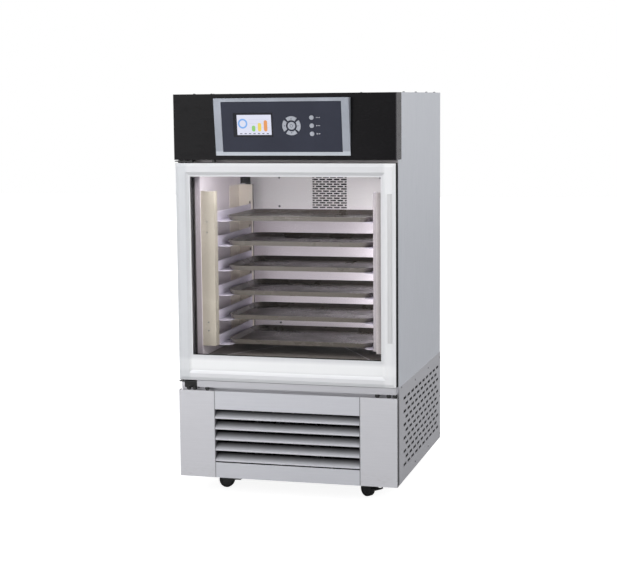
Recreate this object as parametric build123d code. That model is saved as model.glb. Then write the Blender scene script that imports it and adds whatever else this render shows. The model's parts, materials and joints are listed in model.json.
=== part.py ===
from build123d import *
import os
from math import atan, cos, degrees, radians, sin

# Trays, which the chamber is built round
tray_width = 480.0
tray_depth = 325.0
tray_height = 15.0
tray_pitch = 79.0
tray_count = 6
tray_sheet = 1.5
tray_corner = 40.0
tray_lean = 9.0
tray_bead = 3.0

# Space left round the trays
side_space = 60.0
front_space = 115.0
rear_space = 85.0
floor_space = 36.0
top_space = 141.0
plenum_depth = 119.5

# Walls
wall = 47.0
floor_wall = 63.5
liner_sheet = 1.0
sheet = 1.5
flange = 20.0

# Heights from the floor up
castor_headroom = 8.0
base_height = 276.0
sill_gap = 11.0
sill_height = 20.5
door_gap = 1.5
door_below_floor = 58.0
door_above_ceiling = 32.0
fascia_gap = 10.0
fascia_height = 200.0

# Door
door_thickness = 33.0
door_inset = 3.5
frame_depth = 6.0
frame_bevel = 3.0
bevel_width = 10.0
stile_width = 46.5
head_rail = 41.0
foot_rail = 36.0
band_height = 44.0
slope_width = 10.0
lip_width = 4.0
lip_drop = 3.5
band_drop = 3.0
back_frame_inset = 2.5
glass_sheet = 4.0
glass_gap = 11.0
glass_overlap = 8.0
glass_play = 0.3
spacer_width = 5.7
retainer = 2.0
gasket_offset = 6.0
gasket_width = 16.0
gasket_play = 0.3
pivot_inset = 16.0
pin_radius = 4.0
pin_depth = 20.0
pin_play = 0.08

# Door grip
grip_width = 14.0
grip_proud = 4.0
grip_foot = 137.0
grip_length = 450.0
grip_cap = 12.0

# Control module
bezel_width = 422.0
bezel_height = 173.0
bezel_proud = 26.0
bezel_foot_proud = 3.5
bezel_wall = 1.5
window_width = 376.0
window_height = 153.0
plate_rim = 4.0
plate_sheet = 3.0
screen_width = 125.0
screen_height = 73.0
screen_x = -89.0
screen_v = 6.0
button_proud = 1.8
button_play = 0.3
button_collar = 1.0
collar_play = 0.1
ring_x = 32.0
ring_v = 3.0
ring_outer = 28.5
ring_inner = 17.0
ring_split = 8.0
centre_radius = 11.5
side_button_x = 95.0
side_button_pitch = 24.4
side_button_radius = 6.7
board_gap = 3.1
board_sheet = 1.6

# Rack
runner_sheet = 1.5
runner_web = 31.0
runner_flange = 42.0
runner_nose = 26.0
tray_play = 16.0
front_upright_width = 33.0
rear_upright_leg = 25.0
wall_plate = 97.0
upright_above_floor = 36.0
hook_reach = 12.0
runner_lead = 18.0
runner_tail = 10.0
hook_height = 16.0
hook_play = 0.4
upright_above = 65.0
slot_width = 3.0
slot_height = 9.0
slot_drop = 18.0

# Lamp, on the right wall
lamp_depth = 25.0
lamp_width = 33.0
lamp_from_front = 20.0
lamp_above_floor = 36.0
lamp_below_ceiling = 59.0
lens_sheet = 1.5
lamp_cap = 4.0
lamp_wall = 2.0

# Air duct, coil and fan behind the trays
duct_gap = 20.0
duct_below_ceiling = 6.0
duct_above_floor = 16.0
grille_slot = 20.0
grille_slot_height = 5.0
grille_pitch = 25.0
grille_row = 7.9
grille_columns = 5
grille_rows = 15
grille_below_ceiling = 30.4
fan_radius = 56.0
fan_width = 16.0
fan_hub = 18.0
fan_blades = 5
fan_setback = 28.0
fan_shaft = 3.0
shaft_play = 0.05
blade_sheet = 2.0
motor_radius = 26.0
motor_setback = 46.0
motor_plate = 3.0
motor_plate_half = 45.0
coil_half = 230.0
coil_depth = 60.0
coil_height = 170.0
coil_foot = 175.0
coil_fins = 8
fin_sheet = 2.0
coil_tube = 10.0
header_half = 10.0
header_height = 12.0
pan_half = 150.0
pan_from_wall = 4.0
heater_radius = 5.0
heater_height = 7.0
heater_end = 20.0
pan_depth = 80.0
pan_height = 40.0

# Base
base_setback = 4.0
corner_panel = 115.5
corner_return = 20.0
louvre_rail_foot = 48.5
louvre_rail_head = 58.0
louvre_count = 5
louvre_depth = 24.0
louvre_drop = 17.0
louvre_lip = 5.0
panel_play = 0.8
pan_sheet = 2.0
post_width = 30.0
post_sheet = 3.0
vent_slot = 42.0
vent_slot_height = 9.0
vent_pitch = 60.8
vent_row = 21.0
vent_rows = 11
vent_columns = 10
vent_margin_front = 86.5
vent_head = 46.0
rear_slot = 84.0
rear_slot_height = 8.0
rear_slot_foot = 106.0
rear_slot_rows = 6
rear_slot_x = 100.0

# Castors
wheel_radius = 24.0
wheel_width = 22.0
wheel_play = 0.8
axle_radius = 3.0
fork_sheet = 2.0
race_height = 1.3
castor_trail = 14.0
castor_plate = 3.0
castor_play = 0.2
pedal_length = 22.0
pedal_width = 26.0
pedal_gap = 3.0
pedal_rise = 6.0
pedal_pin = 2.0
castor_half_track = 234.0
castor_shift = -10.0
castor_from_front = 74.0
castor_from_rear = 90.0
front_castor_turn = (0.0, -35.0)

# Refrigeration
pipe_radius = 4.0
pipe_bend = 24.0
pipe_spacing = 20.0
stub_length = 14.0
stub_wall = 1.5
compressor_radius = 75.0
compressor_height = 165.0
compressor_crown = 26.0
compressor_foot_play = 10.0
compressor_foot_cut = 15.0
compressor_foot_sheet = 4.0
suction_inset = 7.0
suction_turn = 24.3
condenser_half = 165.0
condenser_height = 200.0
condenser_depth = 40.0
condenser_setback = 45.0
condenser_fan_radius = 85.0
condenser_fan_hub = 24.0
condenser_fan_width = 16.0
condenser_shaft = 4.0
condenser_fins = 9
fan_ring_play = 4.0
shroud_depth = 30.0
manifold_width = 54.0
pass_radius = 20.0
pass_from_wall = 32.0
pass_x = 195.0

# Worked out heights
castor_height = 2 * wheel_radius + castor_headroom
base_top = castor_height + base_height
sill_foot = base_top + sill_gap
door_foot = sill_foot + sill_height + door_gap
floor_z = door_foot + door_below_floor
first_shelf = floor_z + floor_space
shelf_heights = [first_shelf + i * tray_pitch for i in range(tray_count)]
ceiling_z = shelf_heights[-1] + tray_height + top_space
upright_top = shelf_heights[-1] + runner_web + upright_above
door_head = ceiling_z + door_above_ceiling
fascia_foot = door_head + fascia_gap
top_z = fascia_foot + fascia_height
seam_z = floor_z - floor_wall
foam_top = ceiling_z + wall

# Worked out widths
inner_half = tray_width / 2 + side_space
half_width = inner_half + wall + 2 * sheet
body_half = half_width - sheet
foam_half = inner_half + wall
door_half = half_width - door_inset
opening_half = door_half - stile_width + 1.0
corner_x = half_width - corner_panel
louvre_half = corner_x - panel_play / 2

# Worked out depths, with the middle of the whole depth at zero
body_depth = front_space + tray_depth + rear_space + plenum_depth + wall + sheet
rear_y = (body_depth + door_thickness + bezel_proud) / 2
body_front = rear_y - body_depth
door_face = body_front - door_thickness
skin_rear = rear_y - sheet
tray_front = body_front + front_space
tray_rear = tray_front + tray_depth
duct_y = tray_rear + rear_space
back_y = duct_y + plenum_depth
rack_front = tray_front - runner_lead
rack_rear = tray_rear + runner_tail
runner_x = tray_width / 2 + tray_play
base_front = door_face + base_setback
pass_y = back_y - pass_from_wall

# Door levels
glass_front = door_face + frame_depth
glass_rear = glass_front + 2 * glass_sheet + glass_gap
door_back = glass_rear + retainer
view_foot = door_foot + foot_rail + band_height
view_head = door_head - head_rail
pivot_x = -half_width + pivot_inset
pivot_y = (door_face + door_back) / 2 + 2.0

# Tilted plane of the control module, x across, y up and z out of its face
tilt = atan((bezel_proud - bezel_foot_proud) / bezel_height)
bezel_foot = fascia_foot + (fascia_height - bezel_height) / 2
face_y = door_face - (bezel_proud + bezel_foot_proud) / 2
face_z = bezel_foot + bezel_height / 2
panel_plane = Plane(origin=(0, face_y, face_z), x_dir=(1, 0, 0), z_dir=(0, -cos(tilt), -sin(tilt)))
plate_top = -bezel_wall
plate_back = plate_top - plate_sheet
board_top = plate_back - board_gap
side_button_names = ["mode_button", "light_button", "start_button"]
arc_button_names = ["right_button", "up_button", "left_button", "down_button"]


def slab(x0, x1, y0, y1, z0, z1):
    """A box between two opposite corners."""
    return Pos((x0 + x1) / 2, (y0 + y1) / 2, (z0 + z1) / 2) * Box(x1 - x0, y1 - y0, z1 - z0)


def both_sides(solid):
    """A solid and its mirror image on the other side of the middle."""
    return [solid, mirror(solid, about=Plane.YZ)]


def upright_rod(radius, x, y, z0, z1):
    """A round bar standing on end."""
    return Pos(x, y, (z0 + z1) / 2) * Cylinder(radius, z1 - z0)


def level_rod(radius, x, z, y0, y1):
    """A round bar lying front to back."""
    return Pos(x, (y0 + y1) / 2, z) * Rot(90, 0, 0) * Cylinder(radius, y1 - y0)


def frustum(rear, y_rear, front, y_front):
    """A block between two upright rectangles, each given by its left, right, foot and head."""
    faces = []
    for (x0, x1, z0, z1), y in ((rear, y_rear), (front, y_front)):
        place = Plane(origin=((x0 + x1) / 2, y, (z0 + z1) / 2), x_dir=(1, 0, 0), z_dir=(0, 1, 0))
        faces.append(place * Rectangle(x1 - x0, z1 - z0))
    return loft(faces)


def grow(rectangle, margin):
    """The rectangle with its four edges moved outwards by a margin."""
    x0, x1, z0, z1 = rectangle
    return (x0 - margin, x1 + margin, z0 - margin, z1 + margin)


def block(rectangle, y0, y1):
    """A block with the outline of an upright rectangle."""
    x0, x1, z0, z1 = rectangle
    return slab(x0, x1, y0, y1, z0, z1)


def on_panel(shape, top, depth):
    """A flat outline pushed into the control module from a level of its tilted plane."""
    return extrude(panel_plane.offset(top) * shape, amount=-depth)


door_outline = (-door_half, door_half, door_foot, door_head)
ring_opening = (-opening_half, opening_half, door_foot + foot_rail, view_head)
view_opening = (-opening_half, opening_half, view_foot, view_head)
chamber_opening = (-inner_half, inner_half, floor_z, ceiling_z)


def side_panels():
    """Two plain upper sides, each with a flange behind the fascia."""
    plate = slab(foam_half, body_half, body_front, skin_rear, seam_z, top_z - sheet)
    edge = slab(foam_half - flange, foam_half, body_front, body_front + sheet, foam_top, top_z - sheet)
    return both_sides(plate + edge)


def top_panel():
    """The lid of the control compartment, with its edges folded down inside the walls."""
    under = top_z - sheet
    plate = slab(-body_half, body_half, body_front, rear_y, under, top_z)
    inner = body_front + sheet
    for x0, x1 in ((-foam_half, -foam_half + sheet), (foam_half - sheet, foam_half)):
        plate += slab(x0, x1, inner, skin_rear, under - flange, under)
    middle = foam_half - flange
    plate += slab(-middle, middle, inner, inner + sheet, under - flange, under)
    plate += slab(-foam_half, foam_half, skin_rear - sheet, skin_rear, under - flange, under)
    return [plate]


def rear_panel():
    """The back sheet, with rows of air slots behind the machine space."""
    plate = slab(-body_half, body_half, skin_rear, rear_y, castor_height + pan_sheet, top_z - sheet)
    slots = []
    half = rear_slot / 2
    for x in (-rear_slot_x, rear_slot_x):
        for row in range(rear_slot_rows):
            z = castor_height + rear_slot_foot + row * vent_row
            slots.append(slab(x - half, x + half, skin_rear - 1, rear_y + 1, z, z + rear_slot_height))
    return [plate - slots]


def pass_hole(z0, z1):
    """The round way through the chamber floor that the pipes use."""
    return upright_rod(pass_radius, pass_x, pass_y, z0, z1)


def insulation():
    """Foam walls on five sides of the chamber."""
    outer = slab(-foam_half, foam_half, body_front + liner_sheet, skin_rear, seam_z, foam_top)
    cavity = block(grow(chamber_opening, liner_sheet), body_front, back_y + liner_sheet)
    return [outer - cavity - pass_hole(seam_z - 1, floor_z)]


def liner():
    """Thin bright lining of the chamber, with the flat frame that the door seals on."""
    shell = block(grow(chamber_opening, liner_sheet), body_front, back_y + liner_sheet)
    rim = slab(-foam_half, foam_half, body_front, body_front + liner_sheet, seam_z, foam_top)
    hollow = block(chamber_opening, body_front - 1, back_y)
    return [shell + rim - hollow - pass_hole(floor_z - 5, floor_z + 5)]


def chassis():
    """Welded base: a floor pan, four corner angles and the deck under the insulated body."""
    pan_front = base_front + sheet
    deck_top = seam_z
    pan = slab(-body_half, body_half, pan_front, skin_rear, castor_height, castor_height + pan_sheet)
    lip_top = castor_height + flange
    pan += slab(-louvre_half, louvre_half, pan_front, pan_front + sheet, castor_height, lip_top)
    deck = slab(-body_half, body_half, body_front, skin_rear, deck_top - pan_sheet, deck_top)
    frame = pan + (deck - pass_hole(deck_top - 5, deck_top + 5))
    frame += slab(-body_half, body_half, body_front, body_front + sheet, base_top - flange, deck_top)
    z0, z1 = castor_height + pan_sheet, deck_top - pan_sheet
    for y0, y1, face in (
        (body_front, body_front + post_width, body_front),
        (skin_rear - post_width, skin_rear, skin_rear - post_sheet),
    ):
        for side in (-1, 1):
            outer = side * body_half
            inner = side * (body_half - post_sheet)
            far = side * (body_half - post_width)
            frame += slab(min(outer, inner), max(outer, inner), y0, y1, z0, z1)
            frame += slab(min(outer, far), max(outer, far), face, face + post_sheet, z0, z1)
    return [frame]


def vent_panels():
    """Two lower sides with staggered rows of long slots."""
    length = skin_rear - body_front
    height = seam_z - castor_height
    outline = Rectangle(length, height)
    holes = []
    for row in range(vent_rows):
        short = row % 2
        for column in range(vent_columns - short):
            y = vent_margin_front + (column + short / 2) * vent_pitch - length / 2
            z = height / 2 - vent_head - row * vent_row
            holes.append(Pos(y, z) * Rectangle(vent_slot, vent_slot_height))
    middle_y = (body_front + skin_rear) / 2
    middle_z = castor_height + height / 2
    place = Plane(origin=(body_half, middle_y, middle_z), x_dir=(0, 1, 0), z_dir=(1, 0, 0))
    return both_sides(extrude(place * (outline - holes), amount=sheet))


def base_corner_panels():
    """Two front corner covers of the base, each with a return round the side."""
    front = slab(corner_x, half_width, base_front, base_front + sheet, castor_height, base_top)
    side = slab(body_half, half_width, base_front, base_front + corner_return, castor_height, base_top)
    cover = front + side
    return both_sides(cover)


def louvre_panel():
    """The middle front cover of the base: two rails, two cheeks and sloping air blades."""
    z0, z1 = castor_height, base_top
    gap_foot, gap_head = z0 + louvre_rail_foot, z1 - louvre_rail_head
    cheek_depth = louvre_depth + sheet
    panel = slab(-louvre_half, louvre_half, base_front, base_front + sheet, z0, gap_foot)
    panel += slab(-louvre_half, louvre_half, base_front, base_front + sheet, gap_head, z1)
    for side in (-1, 1):
        outer, inner = side * louvre_half, side * (louvre_half - sheet)
        rear = base_front + cheek_depth
        cheek_foot = castor_height + flange + 1.0
        panel += slab(min(outer, inner), max(outer, inner), base_front, rear, cheek_foot, gap_head + 10.0)
    pitch = (gap_head - gap_foot) / louvre_count
    front, rear = base_front, base_front + louvre_depth
    for blade in range(louvre_count):
        lip = gap_foot + (blade + 0.12) * pitch
        with BuildPart() as sheet_metal:
            with BuildSketch(Plane.YZ):
                with BuildLine():
                    Polyline(
                        (front, lip),
                        (front, lip + louvre_lip),
                        (rear, lip + louvre_lip + louvre_drop),
                        (rear + sheet, lip + louvre_lip + louvre_drop - sheet),
                        (front + sheet, lip + louvre_lip - sheet),
                        (front + sheet, lip),
                        close=True,
                    )
                make_face()
            extrude(amount=louvre_half - sheet, both=True)
        panel += sheet_metal.part
    return [panel]


def sill_strip():
    """Folded strip under the door, closed at its ends."""
    x0, x1 = -half_width + 60.0, half_width - 4.0
    front, top = body_front - 28.0, sill_foot + sill_height
    outer = slab(x0, x1, front, body_front, sill_foot, top)
    inner_x0, inner_x1 = x0 + sheet, x1 - sheet
    hollow = slab(inner_x0, inner_x1, front + sheet, body_front + 1, sill_foot + sheet, top - sheet)
    return [outer - hollow]


def fascia():
    """Black front cover of the control compartment, folded back over both sides."""
    shell = slab(-half_width, half_width, door_face, body_front + 40.0, fascia_foot, top_z)
    shell = fillet(shell.edges().filter_by(Axis.Z).group_by(Axis.Y)[0], 4.0)
    hollow = slab(
        -body_half, body_half, door_face + 2.0, body_front + 41.0, fascia_foot + sheet, top_z - sheet
    )
    shell -= hollow
    for z0, z1 in ((fascia_foot - 1, fascia_foot + sheet + 1), (top_z - sheet - 1, top_z + 1)):
        shell -= slab(-half_width - 1, half_width + 1, body_front, body_front + 41.0, z0, z1)
    shell += [
        slab(x0, x1, body_front, body_front + 40.0, z0, z1)
        for x0, x1 in ((-half_width, -body_half), (body_half, half_width))
        for z0, z1 in ((fascia_foot, fascia_foot + sheet + 1), (top_z - sheet - 1, top_z))
    ]
    window = slab(
        -bezel_width / 2 + 10, bezel_width / 2 - 10, door_face - 1, door_face + 3,
        bezel_foot + 4, bezel_foot + bezel_height - 4,
    )
    notch_end = -half_width + 60.0
    notch = slab(-body_half, notch_end, body_front - 5, body_front, fascia_foot - 1, fascia_foot + 3)
    return [shell - window - notch]


def wedge(margin):
    """The tilted box of the control module, drawn in by a margin on all but its back."""
    x = bezel_width / 2 - margin
    lean = (bezel_proud - bezel_foot_proud) / bezel_height
    z0, z1 = bezel_foot + margin, bezel_foot + bezel_height - margin
    setback = margin / cos(tilt)
    y0 = door_face - bezel_foot_proud - margin * lean + setback
    y1 = door_face - bezel_proud + margin * lean + setback
    profile = Plane.YZ * Polygon((door_face, z0), (y0, z0), (y1, z1), (door_face, z1), align=None)
    return extrude(profile, amount=x, both=True)


def control_bezel():
    """Silver frame of the control module, nearly flush below and standing proud above."""
    opening = on_panel(Rectangle(window_width, window_height), 5, 40)
    return [wedge(0) - wedge(bezel_wall) - opening]


def side_button_places():
    """Middle of each round button in the right-hand column."""
    return [(side_button_x, ring_v + (1 - i) * side_button_pitch) for i in range(3)]


def arc_outline(margin):
    """One quarter of the button ring, narrowed or widened by a margin."""
    ring = Circle(ring_outer + margin) - Circle(ring_inner - margin)
    spread = 90.0 - 2 * degrees(atan((ring_split / 2 - margin) / ring_outer))
    reach = 2 * ring_outer
    half = radians(spread / 2)
    x, y = reach * cos(half), reach * sin(half)
    sector = Polygon((0, 0), (x, -y), (x, y), align=None)
    return ring & sector


def control_plate():
    """Dark front plate with a window for the display and a hole for each button."""
    outline = Rectangle(window_width + 2 * plate_rim, window_height + 2 * plate_rim)
    outline -= Pos(screen_x, screen_v) * Rectangle(screen_width + button_play, screen_height + button_play)
    outline -= Pos(ring_x, ring_v) * Circle(centre_radius + button_play)
    for i in range(4):
        outline -= Pos(ring_x, ring_v) * Rot(0, 0, 90 * i) * arc_outline(button_play)
    for x, v in side_button_places():
        outline -= Pos(x, v) * Circle(side_button_radius + button_play)
    return [on_panel(outline, plate_top, plate_sheet)]


def display():
    """Flat display behind the window, standing on the board."""
    place = Pos(screen_x, screen_v)
    return [on_panel(place * Rectangle(screen_width, screen_height), plate_top - 0.2, board_top_depth())]


def board_top_depth():
    """Thickness of the display, from just under the plate's face to the board."""
    return plate_top - 0.2 - board_top


def control_board():
    """Circuit board on four pillars behind the plate."""
    board = on_panel(Rectangle(window_width - 16, window_height - 20), board_top, board_sheet)
    for x in (-1, 1):
        for v in (-1, 1):
            pillar = Pos(x * (window_width / 2 - 16), v * (window_height / 2 - 18)) * Rectangle(6, 6)
            board += on_panel(pillar, plate_back, board_gap + board_sheet / 2)
    return [board]


def button(place, cap, collar):
    """A button cap on a flat collar that stops against the back of the plate."""
    length = button_proud + plate_sheet + collar_play + button_collar
    body = on_panel(place * cap, plate_top + button_proud, length)
    return [body + on_panel(place * collar, plate_back - collar_play, button_collar)]


def round_button(place, radius):
    """A round cap on a square collar."""
    side = 2 * radius + 2.0
    return button(place, Circle(radius), Rectangle(side, side))


def buttons():
    """The round centre button, the four ring quarters and the column of three."""
    centre = Pos(ring_x, ring_v)
    made = {"enter_button": round_button(centre, centre_radius)}
    collar_x0, collar_x1 = ring_inner - 1.3, ring_outer + 1.0
    collar = Pos((collar_x0 + collar_x1) / 2, 0) * Rectangle(collar_x1 - collar_x0, 2 * collar_x0 - 4.0)
    for i, name in enumerate(arc_button_names):
        made[name] = button(centre * Rot(0, 0, 90 * i), arc_outline(0), collar)
    for name, (x, v) in zip(side_button_names, side_button_places()):
        made[name] = round_button(Pos(x, v), side_button_radius)
    return made


def door_frame():
    """Metal face of the door: bevelled rim, sloping inner edge, and a flat band at the foot."""
    edge_y = door_face + frame_bevel
    frame = block(door_outline, edge_y, glass_front)
    frame += frustum(door_outline, edge_y, grow(door_outline, -bevel_width), door_face)
    low = door_face + lip_drop
    slope_top = grow(ring_opening, lip_width + slope_width)
    frame -= frustum(grow(ring_opening, lip_width), low, slope_top, door_face)
    frame -= block(ring_opening, door_face - 1, glass_front + 1)
    x0, x1, z0, z1 = ring_opening
    return [frame + slab(x0, x1, door_face + band_drop, glass_front, z0, view_foot)]


glass_outline = grow(view_opening, glass_overlap)


def door_glass():
    """The two panes of the sealed window."""
    front = block(glass_outline, glass_front, glass_front + glass_sheet)
    return [front, block(glass_outline, glass_rear - glass_sheet, glass_rear)]


def glass_spacer():
    """Metal spacer round the edge between the panes."""
    y0, y1 = glass_front + glass_sheet, glass_rear - glass_sheet
    inner = grow(glass_outline, -spacer_width)
    return [block(glass_outline, y0, y1) - block(inner, y0 - 1, y1 + 1)]


def door_back_frame():
    """Black inner frame that holds the glass and carries the pivot holes."""
    outline = grow(door_outline, -back_frame_inset)
    frame = block(outline, glass_front, door_back)
    frame -= block(grow(glass_outline, glass_play), glass_front - 1, glass_rear)
    frame -= block(view_opening, glass_rear - 1, door_back + 1)
    low, high = door_foot + back_frame_inset, door_head - back_frame_inset
    hole = pin_radius + pin_play
    frame -= upright_rod(hole, pivot_x, pivot_y, low - 1, low + pin_depth)
    frame -= upright_rod(hole, pivot_x, pivot_y, high - pin_depth, high + 1)
    return [frame]


def door_gasket():
    """Soft seal on the back of the door, a hair in front of the cabinet."""
    inner = grow(chamber_opening, gasket_offset)
    outer = grow(inner, gasket_width)
    rear = body_front - gasket_play
    ring = block(outer, door_back, rear - 2.0) + frustum(grow(outer, -3.0), rear, outer, rear - 2.0)
    return [ring - block(inner, door_back - 1, rear + 1)]


def door_grip():
    """Long upright grip strip on the free side, with a cap at each end."""
    right = door_half - bevel_width - 0.5
    left = right - grip_width
    foot = door_foot + grip_foot
    head = foot + grip_length
    strip = slab(left, right, door_face - grip_proud, door_face, foot + grip_cap, head - grip_cap)
    strip = fillet(strip.edges().filter_by(Axis.Z).group_by(Axis.Y)[0], 3.0)
    caps = []
    for z0 in (foot, head - grip_cap):
        cap = slab(left, right, door_face - grip_proud, door_face, z0, z0 + grip_cap)
        caps.append(fillet(cap.edges().filter_by(Axis.Z).group_by(Axis.Y)[0], 3.0))
    return [strip] + caps


def hinge_brackets():
    """Upper and lower brackets, each a plate on the cabinet, an arm and a pivot pin."""
    x0, x1 = -body_half, -half_width + 58.0
    low_top = door_foot - 4.0
    high_foot = door_head + 4.0
    lower = slab(x0, x1, pivot_y - 12.0, body_front, low_top - 3.0, low_top)
    lower += slab(x0 + 8, x1, body_front - 3.0, body_front, seam_z - 24.0, low_top)
    lower += upright_rod(pin_radius * 2, pivot_x, pivot_y, low_top, door_foot - 0.3)
    pin_reach = back_frame_inset + pin_depth - 1
    lower += upright_rod(pin_radius, pivot_x, pivot_y, low_top, door_foot + pin_reach)
    upper = slab(x0, x1, pivot_y - 12.0, body_front, high_foot, high_foot + 3.0)
    upper += slab(x0 + 8, x1, body_front - 3.0, body_front, high_foot, fascia_foot + 22.0)
    upper += upright_rod(pin_radius * 2, pivot_x, pivot_y, door_head + 0.3, high_foot)
    upper += upright_rod(pin_radius, pivot_x, pivot_y, door_head - pin_reach, high_foot)
    return [lower, upper]


def lamp_housing():
    """Slim upright lamp body on the right wall, just inside the door, capped at both ends."""
    x0, x1 = inner_half - lamp_depth, inner_half
    y0 = body_front + lamp_from_front
    y1 = y0 + lamp_width
    z0, z1 = floor_z + lamp_above_floor, ceiling_z - lamp_below_ceiling
    body = slab(x0, x1, y0, y1, z0, z1)
    hollow = slab(x0 - 1, x1 - lamp_wall, y0 + lamp_wall, y1 - lamp_wall, z0 + lamp_cap, z1 - lamp_cap)
    return [body - hollow]


def lamp_lens():
    """Diffuser strip let into the open face of the lamp body."""
    x0 = inner_half - lamp_depth
    y0 = body_front + lamp_from_front
    z0, z1 = floor_z + lamp_above_floor + lamp_cap, ceiling_z - lamp_below_ceiling - lamp_cap
    return [slab(x0, x0 + lens_sheet, y0 + lamp_wall, y0 + lamp_width - lamp_wall, z0, z1)]


def front_upright():
    """Folded channel on the right wall, with a slot in its inner leg at each shelf."""
    y0, y1 = rack_front - front_upright_width, rack_front
    z0 = floor_z + upright_above_floor
    post = slab(runner_x, inner_half, y0, y0 + runner_sheet, z0, upright_top)
    for x in (runner_x, inner_half - runner_sheet):
        post += slab(x, x + runner_sheet, y0, y1, z0, upright_top)
    middle = (y0 + y1) / 2
    for z in shelf_heights[1:]:
        x0, x1 = runner_x - 1, runner_x + runner_sheet + 1
        post -= slab(x0, x1, middle - slot_width, middle + slot_width, z - slot_drop, z - slot_height)
    return post


def rear_upright():
    """Folded upright at the back of the rack: a wall plate, a slotted face and an inner leg."""
    y0, z0 = rack_rear, floor_z + upright_above_floor
    y1, y2 = y0 + runner_sheet, y0 + rear_upright_leg
    spare = runner_x + runner_sheet + hook_play + runner_sheet
    post = slab(runner_x - hook_play - runner_sheet, inner_half, y0, y1, z0, upright_top)
    post += slab(runner_x - hook_play - runner_sheet, runner_x - hook_play, y0, y2, z0, upright_top)
    post += slab(inner_half - runner_sheet, inner_half, y0 - wall_plate, y1, z0, upright_top)
    for z in shelf_heights:
        foot, top = hook_foot(z) - hook_play, z + runner_web + slot_height
        hook_x1 = runner_x + runner_sheet + hook_play
        post -= slab(runner_x - hook_play, hook_x1, y0 - 1, y1 + 1, foot, top)
        post -= slab(spare, spare + slot_width, y0 - 1, y1 + 1, z + runner_web, top)
    return post


def hook_foot(z):
    """Lower edge of a runner's hooks above its shelf."""
    return z + runner_web - hook_height


def rack_uprights():
    """Four uprights, two on each wall."""
    return both_sides(front_upright()) + both_sides(rear_upright())


def tray_runners():
    """A pair of angle runners for each tray, hooked into the uprights, with the front corner rounded."""
    made = []
    x0, x1 = runner_x, runner_x + runner_sheet
    for z in shelf_heights:
        web = slab(x0, x1, rack_front, rack_rear, z - runner_sheet, z + runner_web)
        shelf = slab(x1 - runner_flange, x0, rack_front, rack_rear, z - runner_sheet, z)
        corner = shelf.edges().filter_by(Axis.Z).group_by(Axis.Y)[0].sort_by(Axis.X)[0]
        low, high = hook_foot(z), hook_foot(z) + hook_height
        rear_hook = slab(x0, x1, rack_rear - 1, rack_rear + hook_reach / 2, low, high)
        front_hook = slab(
            x1, x1 + runner_sheet, rack_front - hook_reach, rack_front + hook_reach, low, high
        )
        made += both_sides(web + fillet(corner, runner_nose) + rear_hook + front_hook)
    return made


def tray_block(margin, top, depth, lean):
    """A rounded block whose walls lean inwards from its top."""
    place = Plane(origin=(0, (tray_front + tray_rear) / 2, top), x_dir=(1, 0, 0), z_dir=(0, 0, -1))
    outline = RectangleRounded(tray_width - 2 * margin, tray_depth - 2 * margin, tray_corner - margin)
    return extrude(place * outline, amount=depth, taper=degrees(atan(lean / depth)))


def tray(z):
    """One shallow baking tray with rounded corners, leaning walls and a flat rim."""
    top = z + tray_height
    depth = tray_height - tray_sheet
    return [tray_block(0, top, tray_height, tray_lean) - tray_block(tray_bead, top, depth, tray_lean)]


def air_duct_panel():
    """False back of the chamber, with a bricked pattern of slots in front of the fan."""
    half = inner_half - duct_gap
    z0, z1 = floor_z + duct_above_floor, ceiling_z - duct_below_ceiling
    grille_half = ((grille_columns - 1) * grille_pitch + grille_slot) / 2
    outline = Pos(0, (z0 + z1) / 2) * Rectangle(2 * half, z1 - z0)
    holes = []
    for row in range(grille_rows):
        z = ceiling_z - grille_below_ceiling - row * grille_row
        odd = (grille_rows - 1 - row) % 2
        for column in range(grille_columns + odd):
            x = (column - (grille_columns - 1 + odd) / 2) * grille_pitch
            x0, x1 = max(x - grille_slot / 2, -grille_half), min(x + grille_slot / 2, grille_half)
            holes.append(Pos((x0 + x1) / 2, z) * Rectangle(x1 - x0, grille_slot_height))
    place = Plane(origin=(0, duct_y, 0), x_dir=(1, 0, 0), z_dir=(0, -1, 0))
    panel = extrude(place * (outline - holes), amount=-sheet)
    for x0, x1 in ((-half, -half + sheet), (half - sheet, half)):
        panel += slab(x0, x1, duct_y, back_y, z0, z1)
    return [panel]


def fan_height():
    """Level of the circulation fan, at the middle of the grille."""
    return ceiling_z - grille_below_ceiling - (grille_rows - 1) / 2 * grille_row


def axial_fan(radius, hub, width, blades, pitch_deg):
    """A fan about the front to back axis, with flat blades set at an angle."""
    fan = Rot(90, 0, 0) * Cylinder(hub, width)
    chord = 1.7 * hub
    for i in range(blades):
        flat = Box(chord, blade_sheet, radius - hub + 2)
        blade = Pos(0, 0, (hub + radius) / 2 - 1) * Rot(0, 0, pitch_deg) * flat
        fan += Rot(0, 360.0 * i / blades, 0) * blade
    return fan


def circulation_fan():
    """Fan behind the grille, with a bore for the motor shaft."""
    fan = axial_fan(fan_radius, fan_hub, fan_width, fan_blades, 32.0)
    fan -= Rot(90, 0, 0) * Cylinder(fan_shaft + shaft_play, fan_width + 2)
    return [Pos(0, duct_y + fan_setback, fan_height()) * fan]


def circulation_motor():
    """Motor on the back wall, with its shaft in the fan hub."""
    z = fan_height()
    y0, y1 = duct_y + motor_setback, back_y - motor_plate
    motor = level_rod(motor_radius, 0, z, y0, y1)
    motor += level_rod(fan_shaft, 0, z, duct_y + fan_setback - fan_width / 2 + 1, y0)
    half = motor_plate_half
    return [motor + slab(-half, half, y1, back_y, z - motor_radius + 6, z + motor_radius - 6)]


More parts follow.
